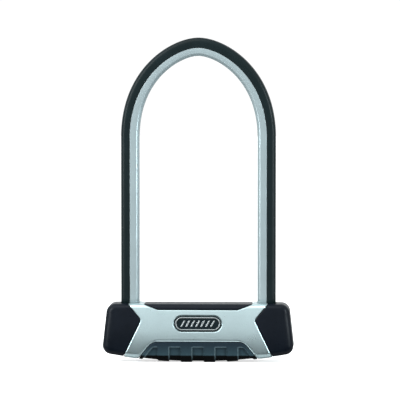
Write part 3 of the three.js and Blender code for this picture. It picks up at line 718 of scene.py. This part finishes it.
def build_badge():
    low, high = node_box("badge_plate")
    half_x, half_z = (high[0] - low[0]) / 2, (high[2] - low[2]) / 2
    bars_front, bars_height, overlap = low[1], 0.45, 0.02
    plate_front = bars_front + bars_height

    def plate(x, y, z):
        pill = rounded_rectangle(x, z - BADGE_Z, half_x, half_z, half_z - PILL)
        return round_max(pill, span(y, plate_front, high[1]), 0.2)

    def bars(x, y, z):
        return round_max(badge_bar(x, z), span(y, bars_front, plate_front + overlap), 0.2)

    moulded("badge_inlay", plate, (low, high), 0.25, "lock_body", "badge", "badge_plate")
    reach_x, reach_z = 18.0, 4
    bars_box = (
        (-reach_x, bars_front, BADGE_Z - reach_z), (reach_x, plate_front, BADGE_Z + reach_z)
    )
    moulded("badge_bars", bars, bars_box, 0.15, "lock_body", "badge_rim")

    rim_low, rim_high = node_box("badge_rim")
    rim_x, rim_z = (rim_high[0] - rim_low[0]) / 2, (rim_high[2] - rim_low[2]) / 2
    width, inset = 0.95, 0.35

    def rim(x, y, z):
        pill = rounded_rectangle(x, z - BADGE_Z, rim_x, rim_z, rim_z - PILL)
        ring = span(pill, -width - inset, -inset)
        return round_max(ring, span(y, rim_low[1], rim_high[1]), 0.28)

    moulded("badge_ring", rim, (rim_low, rim_high), 0.15, "lock_body", "badge_rim", "badge_rim")


# ---- Small parts at the mouths: the legs' seals and the keyhole's shutter ----
def seal_field(low, high):
    """A rubber ring, flared inside at both ends, with a groove round its top."""
    centre, half = (low[0] + high[0]) / 2, (high[0] - low[0]) / 2 - SKIN
    bore_half, bore_round, bore_flare = 6.75, 3.0, 0.45
    groove_place, groove_radius = 1.6, 0.55

    def field(x, y, z):
        outside = rounded_rectangle(x - centre, y, half, half, SHEATH_ROUND)
        bore = rounded_rectangle(x - centre, y, bore_half, bore_half, bore_round)
        flare = np.abs(z - (low[2] + high[2]) / 2) * bore_flare
        shape = round_max(outside, flare - bore, 0.3)
        shape = round_max(shape, span(z, low[2] + SKIN, high[2] - SKIN), 0.35)
        groove = np.hypot(outside + groove_place, z - high[2]) - groove_radius
        return round_max(shape, -groove, 0.15)

    return field


def build_seals():
    for name in ("leg_seal_left", "leg_seal_right"):
        box = node_box(name)
        moulded(f"{name}_lipped", seal_field(*box), box, 0.3, "lock_body", "seal_rubber", name)


def shutter_field(x, y, z):
    """The sliding plate, with a ramp in its underside for the key's tip."""
    ramp_half, ramp_start, ramp_end, ramp_depth = 4.2, -4.6, 4.3, 1.1
    shape = block(x, y, z, SHUTTER_LOW + SKIN / 2, SHUTTER_HIGH - SKIN / 2, 0.3)
    rise = ramp_depth * (ramp_end - x) / (ramp_end - ramp_start)
    ramp = np.maximum(span(x, ramp_start, ramp_end), np.abs(y) - ramp_half)
    ramp = np.maximum(ramp, z - SHUTTER_LOW[2] - rise)
    return round_max(shape, -ramp, 0.15)


def build_shutter():
    moulded(
        "keyhole_shutter_plate", shutter_field, (SHUTTER_LOW, SHUTTER_HIGH), 0.25,
        "shutter", "shutter_steel", "keyhole_shutter",
    )


# ---- Shackle ----
def shackle_line(bottom, arch_samples=140, leg_samples=24):
    """Centre line from the left leg's end over the arch to the right one's, with outward normals
    and each point's height in the arch, from 0 to 1."""
    t = np.linspace(0, 1, arch_samples // 2 + 1)[:, None]
    controls = np.array([
        (-LEG_X, ARCH_START),
        (-LEG_X, ARCH_START + LEG_HANDLE),
        (-CROWN_HANDLE, ARCH_TOP),
        (0, ARCH_TOP),
    ])
    weights = np.hstack([(1 - t) ** 3, 3 * (1 - t) ** 2 * t, 3 * (1 - t) * t**2, t**3])
    arch = weights @ controls
    slopes = np.hstack([(1 - t) ** 2, 2 * (1 - t) * t, t**2]) @ np.diff(controls, axis=0)
    leg_z = np.linspace(bottom, ARCH_START, leg_samples, endpoint=False)
    leg = np.stack([np.full(leg_samples, -LEG_X), leg_z], axis=1)
    points = np.vstack([leg, arch])
    tangents = np.vstack([np.tile((0.0, 1.0), (leg_samples, 1)), slopes])
    tangents /= np.linalg.norm(tangents, axis=1, keepdims=True)
    normals = np.stack([-tangents[:, 1], tangents[:, 0]], axis=1)
    mirror = np.array((-1.0, 1.0))
    points = np.vstack([points, points[-2::-1] * mirror])
    normals = np.vstack([normals, normals[-2::-1] * mirror])
    crown = np.clip((points[:, 1] - ARCH_START) / (ARCH_TOP - ARCH_START), 0, 1)
    return points, normals, crown


def arc_points(centre_u, centre_v, radius, start, end, steps=8):
    """Points along an arc, from one angle to another in degrees."""
    angles = np.radians(np.linspace(start, end, steps + 1))
    return [(centre_u + radius * math.cos(a), centre_v + radius * math.sin(a)) for a in angles]


def slanted_corner(outer, front, start=3.9, radius=3.2, side_round=0.6):
    """A corner of the silver strip: a wide round from its front, then a slant down to its side."""
    points = arc_points(outer - start, front - radius, radius, 90, 45, 6)
    return points + arc_points(outer - side_round, front - 2.4, side_round, 45, 0, 3)


def strip_section(side, inset):
    """One half of the sheath's section as a closed loop of (at_split, u, v): u is away from the
    bar's middle and v is depth. Points marked at_split move with the line between the strips."""
    outer, inner = SHEATH_HALF - inset, BAR_HALF + SHEATH_FIT + inset
    outer_round, inner_round = SHEATH_ROUND - inset, BAR_ROUND + SHEATH_FIT + inset
    split, edge_round = SHEATH_FIT / 2 + inset, 0.45
    if side > 0:
        step = 0
        corner = arc_points(outer - outer_round, outer - outer_round, outer_round, 90, 0)
    else:
        step = STRIP_STEP
        corner = slanted_corner(outer, outer - step)
    edge_v = outer - edge_round - step
    edge = [
        (split + edge_round - edge_round * math.sin(a), edge_v + edge_round * math.cos(a))
        for a in np.radians((90, 60, 30, 0))
    ]
    inside = inner - inner_round
    return [
        *((True, u, v) for u, v in edge),
        *((False, u, v) for u, v in corner),
        *((False, u, -v) for u, v in reversed(corner)),
        *((True, u, -v) for u, v in reversed(edge)),
        (True, split, -inner),
        *((False, u, -v) for u, v in arc_points(inside, inside, inner_round, 90, 0, 5)),
        *((False, u, v) for u, v in arc_points(inside, inside, inner_round, 0, 90, 5)),
        (True, split, inner),
    ]


def ring_quads(rings):
    """Quads between rings of the same number of points."""
    length = len(rings[0])
    start = np.arange(len(rings) - 1)[:, None] * length
    i = np.arange(length)[None, :]
    j = (i + 1) % length
    quads = [start + i, start + j, start + length + j, start + length + i]
    return np.stack(quads, axis=2).reshape(-1, 4)


def swept_object(name, rings):
    """A closed mesh through the rings, with a face over each end."""
    obj = make_object(name, np.concatenate(rings), ring_quads(rings))
    edit = bmesh.new()
    edit.from_mesh(obj.data)
    edges = [e for e in edit.edges if e.is_boundary]
    bmesh.ops.holes_fill(edit, edges=edges, sides=0)
    bmesh.ops.recalc_face_normals(edit, faces=edit.faces[:])
    edit.to_mesh(obj.data)
    edit.free()
    return obj


def chamfered_stations(count, size):
    """(station, inset, lift) of each ring along the shackle, with a chamfer at both leg ends."""
    last = count - 1
    return [
        (0, size, 0.0),
        (0, 0.0, size),
        *((n, 0.0, 0.0) for n in range(1, last)),
        (last, 0.0, size),
        (last, size, 0.0),
    ]


def ring_at(point, normal, section, lift):
    """A section of (u, v), u outward and v in depth, stood across the shackle's line."""
    return np.array([
        (point[0] + u * normal[0], v, point[1] + u * normal[1] + lift) for u, v in section
    ])


def build_sheath():
    end_chamfer, leg_split, split_move = 0.5, 0.25, 1.15
    points, normals, crown = shackle_line(SHEATH_LOW[2])
    ease = crown**2 * (3 - 2 * crown)
    split = leg_split - split_move * ease
    for name, side, slot in (
        ("shackle_sheath_outer", 1, "black_sheath"),
        ("shackle_sheath_inner", -1, "silver_sheath"),
    ):
        rings = []
        for n, inset, lift in chamfered_stations(len(points), end_chamfer):
            section = [
                (side * u + (split[n] if at_split else 0.0), v)
                for at_split, u, v in strip_section(side, inset)
            ]
            rings.append(ring_at(points[n], normals[n], section, lift))
        dress(swept_object(f"{name}_strip", rings), "shackle", slot, name)


def bar_section(inset):
    """The bar's rounded square. An inset comes partly off its corner's place, partly its round."""
    corner = BAR_HALF - BAR_ROUND - inset * 0.3
    radius = BAR_ROUND - inset * 0.7
    section = []
    for quarter, (u, v) in enumerate(((1, 1), (-1, 1), (-1, -1), (1, -1))):
        start = 90 * quarter
        section += arc_points(u * corner, v * corner, radius, start, start + 90, 6)
    return section


def build_bar():
    tip_chamfer, beyond_bar = 1.6, 20
    points, normals, _ = shackle_line(BAR_LOW[2], 100)
    rings = [
        ring_at(points[n], normals[n], bar_section(inset), lift)
        for n, inset, lift in chamfered_stations(len(points), tip_chamfer)
    ]
    obj = swept_object("shackle_bar_hardened", rings)
    bolt_low, bolt_high = node_box("bolt_right")
    low = (BAR_INNER_FACE - beyond_bar, -beyond_bar, bolt_low[2] - NOTCH_PLAY)
    high = (BAR_INNER_FACE + NOTCH_DEPTH, beyond_bar, bolt_high[2] + NOTCH_PLAY)
    for side in (-1, 1):
        cut_box(obj, side, low, high)
    dress(obj, "shackle", "hardened_steel", "shackle_bar")


def cut_box(obj, side, low, high):
    """Subtracts a box, mirrored to the left where side is -1."""
    xs = sorted((side * low[0], side * high[0]))
    corners = list(product(xs, (low[1], high[1]), (low[2], high[2])))
    faces = np.array(
        [(0, 1, 3, 2), (4, 6, 7, 5), (0, 4, 5, 1), (2, 3, 7, 6), (0, 2, 6, 4), (1, 5, 7, 3)]
    )
    cutter = make_object("notch_cutter", corners, faces)
    modifier = obj.modifiers.new("notch", "BOOLEAN")
    modifier.object = cutter
    modifier.solver = "EXACT"
    bpy.context.view_layer.update()
    evaluated = obj.evaluated_get(bpy.context.evaluated_depsgraph_get())
    mesh = bpy.data.meshes.new_from_object(evaluated)
    obj.modifiers.clear()
    obj.data = mesh
    bpy.data.objects.remove(cutter)


def build_spring():
    """The shutter's return spring as one fixed coil; the real one shortens towards its fixed end as
    the shutter opens.
    """
    wire, turns, steps, sides = 0.25, 7, 32, 10
    low, high = node_box("shutter_spring")
    radius, axis_z = (high[1] - low[1]) / 2 - wire, (low[2] + high[2]) / 2
    share = np.linspace(0, 1, turns * steps + 1)
    angle = share * turns * 2 * math.pi
    along = low[0] + wire + share * (high[0] - low[0] - 2 * wire)
    outward = np.stack([np.zeros_like(angle), np.cos(angle), np.sin(angle)], axis=1)
    centre = radius * outward + np.stack([along, 0 * along, 0 * along + axis_z], axis=1)
    tangent = np.gradient(centre, axis=0)
    tangent /= np.linalg.norm(tangent, axis=1, keepdims=True)
    across = np.cross(tangent, outward)
    around = [
        (math.cos(a), math.sin(a)) for a in np.linspace(0, 2 * math.pi, sides, endpoint=False)
    ]
    rings = [
        np.array([c + wire * (u * o + v * w) for u, v in around])
        for c, o, w in zip(centre, outward, across)
    ]
    obj = swept_object("shutter_spring_coil", rings)
    dress(obj, "lock_body", "spring_steel", "shutter_spring")
    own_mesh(obj)


# ---- CAD nodes that stay ----
def finish_cad_nodes():
    """Gives every node of the frame its slot's material, replaced or not."""
    slots = {s["node"]: s["material_slot"] for s in frame["record"]["subparts"]}
    for name, obj in frame["nodes"].items():
        obj.data.materials.clear()
        obj.data.materials.append(MATERIALS[slots[name]])


# ---- Stage ----
def aim(obj, target):
    """Turns a camera or a light to face a point, upright."""
    direction = np.array(target) - np.array(obj.location)
    yaw = math.atan2(direction[1], direction[0]) - math.pi / 2
    pitch = math.atan2(direction[2], math.hypot(direction[0], direction[1])) + math.pi / 2
    obj.rotation_euler = (pitch, 0, yaw)


def add_camera():
    """A long lens from far off, slightly right of the middle and above it, as in the photo."""
    azimuth, elevation, distance = math.radians(2.4), math.radians(3.0), 3.4
    target = np.array((0.00135, 0.0, 0.1504))
    data = bpy.data.cameras.new("camera")
    data.sensor_width = 36
    frame_height = 0.3724
    data.lens = data.sensor_width * distance / frame_height
    data.clip_end = 50
    camera = bpy.data.objects.new("camera", data)
    bpy.context.scene.collection.objects.link(camera)
    flat = distance * math.cos(elevation)
    camera.location = target + (
        flat * math.sin(azimuth), -flat * math.cos(azimuth), distance * math.sin(elevation)
    )
    aim(camera, target)
    bpy.context.scene.camera = camera


def add_light(name, place, target, size, power, color=(1, 1, 1)):
    data = bpy.data.lights.new(name, "AREA")
    data.shape = "RECTANGLE"
    data.size, data.size_y = size
    data.energy = power
    data.color = color
    lamp = bpy.data.objects.new(name, data)
    lamp.location = place
    bpy.context.scene.collection.objects.link(lamp)
    aim(lamp, target)


def add_ramp(nodes, stops, tint=(1.0, 1.0, 1.0)):
    """A colour ramp through stops of (place, level)."""
    ramp = nodes.new("ShaderNodeValToRGB")
    while len(ramp.color_ramp.elements) < len(stops):
        ramp.color_ramp.elements.new(0.5)
    for element, (at, level) in zip(ramp.color_ramp.elements, stops):
        element.position = at
        element.color = (*(level * channel for channel in tint), 1)
    return ramp


def add_floor():
    """White paper to the camera; as a reflector, dark in front of the lock and behind it."""
    side = 6.0
    corners = [(-side, -side, 0), (side, -side, 0), (side, side, 0), (-side, side, 0)]
    mesh = bpy.data.meshes.new("floor")
    mesh.from_pydata(corners, [], [(0, 1, 2, 3)])
    floor = bpy.data.objects.new("floor", mesh)
    bpy.context.scene.collection.objects.link(floor)

    material = bpy.data.materials.new("floor_paper")
    material.use_nodes = True
    nodes, links = material.node_tree.nodes, material.node_tree.links
    nodes.remove(nodes["Principled BSDF"])
    rays = nodes.new("ShaderNodeLightPath")
    bounce, seen = nodes.new("ShaderNodeBsdfDiffuse"), nodes.new("ShaderNodeBsdfDiffuse")
    place = nodes.new("ShaderNodeSeparateXYZ")
    links.new(nodes.new("ShaderNodeTexCoord").outputs["Object"], place.inputs[0])
    away = nodes.new("ShaderNodeMath")
    away.operation = "ABSOLUTE"
    links.new(place.outputs["Y"], away.inputs[0])
    stops = [(0.0, 0.5), (0.022, 0.6), (0.025, 0.02), (0.05, 0.04)]
    stops += [(0.11, 0.18), (0.26, 0.42), (0.5, 0.62)]
    grey = add_ramp(nodes, stops)
    links.new(away.outputs[0], grey.inputs["Fac"])
    links.new(grey.outputs["Color"], bounce.inputs["Color"])
    seen.inputs["Color"].default_value = (0.8, 0.8, 0.8, 1)
    lift = nodes.new("ShaderNodeEmission")
    lift.inputs["Strength"].default_value = 0.65
    lifted, mix = nodes.new("ShaderNodeAddShader"), nodes.new("ShaderNodeMixShader")
    links.new(seen.outputs[0], lifted.inputs[0])
    links.new(lift.outputs[0], lifted.inputs[1])
    links.new(rays.outputs["Is Camera Ray"], mix.inputs[0])
    links.new(bounce.outputs[0], mix.inputs[1])
    links.new(lifted.outputs[0], mix.inputs[2])
    links.new(mix.outputs[0], nodes["Material Output"].inputs["Surface"])
    mesh.materials.append(material)


def add_world():
    """White where it is seen; as a light, a studio that is dim low down and bright overhead."""
    world = bpy.data.worlds.new("studio")
    world.use_nodes = True
    nodes, links = world.node_tree.nodes, world.node_tree.links
    seen = nodes["Background"]
    seen.inputs["Color"].default_value = (1, 1, 1, 1)
    seen.inputs["Strength"].default_value = 1.05
    light, mix = nodes.new("ShaderNodeBackground"), nodes.new("ShaderNodeMixShader")
    direction = nodes.new("ShaderNodeSeparateXYZ")
    links.new(nodes.new("ShaderNodeTexCoord").outputs["Generated"], direction.inputs[0])
    stops = [(0.0, 0.15), (0.45, 0.5), (0.5, 0.72), (0.56, 0.95), (0.65, 1.15), (1.0, 1.0)]
    ramp = add_ramp(nodes, stops, (0.97, 1.0, 1.01))
    height = nodes.new("ShaderNodeMapRange")
    height.inputs["From Min"].default_value = -1
    links.new(direction.outputs["Z"], height.inputs["Value"])
    links.new(height.outputs["Result"], ramp.inputs["Fac"])
    links.new(ramp.outputs["Color"], light.inputs["Color"])
    links.new(nodes.new("ShaderNodeLightPath").outputs["Is Camera Ray"], mix.inputs[0])
    links.new(light.outputs[0], mix.inputs[1])
    links.new(seen.outputs[0], mix.inputs[2])
    links.new(mix.outputs[0], nodes["World Output"].inputs["Surface"])
    bpy.context.scene.world = world
    bpy.context.scene.view_settings.view_transform = "Standard"


def add_stage():
    add_floor()
    add_world()
    middle = (0, 0, 0.12)
    add_light("top_softbox", (-0.3, -0.4, 1.3), middle, (1.1, 0.8), 6)
    add_light("left_softbox", (-0.9, -0.7, 0.9), middle, (0.5, 0.7), 8)
    add_light("left_strip", (-1.1, -0.67, 0.25), middle, (0.3, 0.9), 10, (0.93, 1.0, 1.03))
    add_light("right_strip", (1.1, -0.67, 0.25), middle, (0.3, 0.9), 13, (0.88, 1.0, 1.05))


finish_cad_nodes()
add_camera()
add_stage()
build_covers()
build_badge()
build_seals()
build_shutter()
build_sheath()
build_bar()
build_spring()
